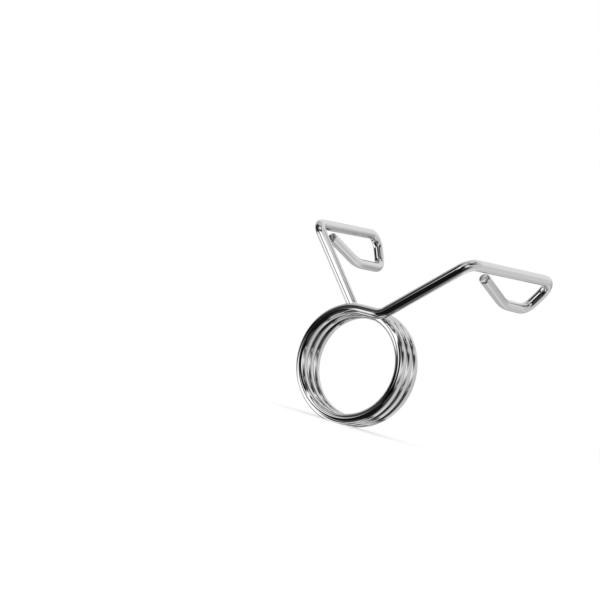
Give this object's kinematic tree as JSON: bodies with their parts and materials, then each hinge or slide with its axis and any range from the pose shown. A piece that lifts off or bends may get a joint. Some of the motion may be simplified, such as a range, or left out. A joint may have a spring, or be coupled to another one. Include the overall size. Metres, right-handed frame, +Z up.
{
  "type": "barbell spring collar",
  "caption": "Spring collar of bare chromed wire: its coil grips a barbell sleeve, and squeezing its looped grips together opens the coil.",
  "frame": {"origin": "on the sleeve's axis, in the middle of the coil", "axes": "+Y along the sleeve's axis, towards the side the grips reach over; +Z up between the two arms; +X towards the arm at the coil's -Y end"},
  "size_m": [0.1254, 0.0991, 0.1076],
  "materials": {
    "chromed_wire": "bright chrome plating on drawn spring wire"
  },
  "bodies": {
    "spring_coil": {"coil": "chromed_wire"},
    "front_lever": {"front_arm": "chromed_wire", "front_grip": "chromed_wire"},
    "rear_lever": {"rear_arm": "chromed_wire", "rear_grip": "chromed_wire"}
  },
  "joints": [
    {"name": "front_squeeze", "type": "hinge", "parent": "spring_coil", "child": "front_lever", "pos_m": [0, 0, 0], "axis": [0, -1, 0], "range_deg": [0, 22], "stiffness_Nm_per_rad": 31, "deforming": ["coil"]},
    {"name": "rear_squeeze", "type": "hinge", "parent": "spring_coil", "child": "rear_lever", "pos_m": [0, 0, 0], "axis": [0, 1, 0], "range_deg": [0, 22], "stiffness_Nm_per_rad": 31, "deforming": ["coil"]}
  ],
  "couplings": [
    {"joint": "rear_squeeze", "follows": "front_squeeze", "ratio": 1}
  ]
}
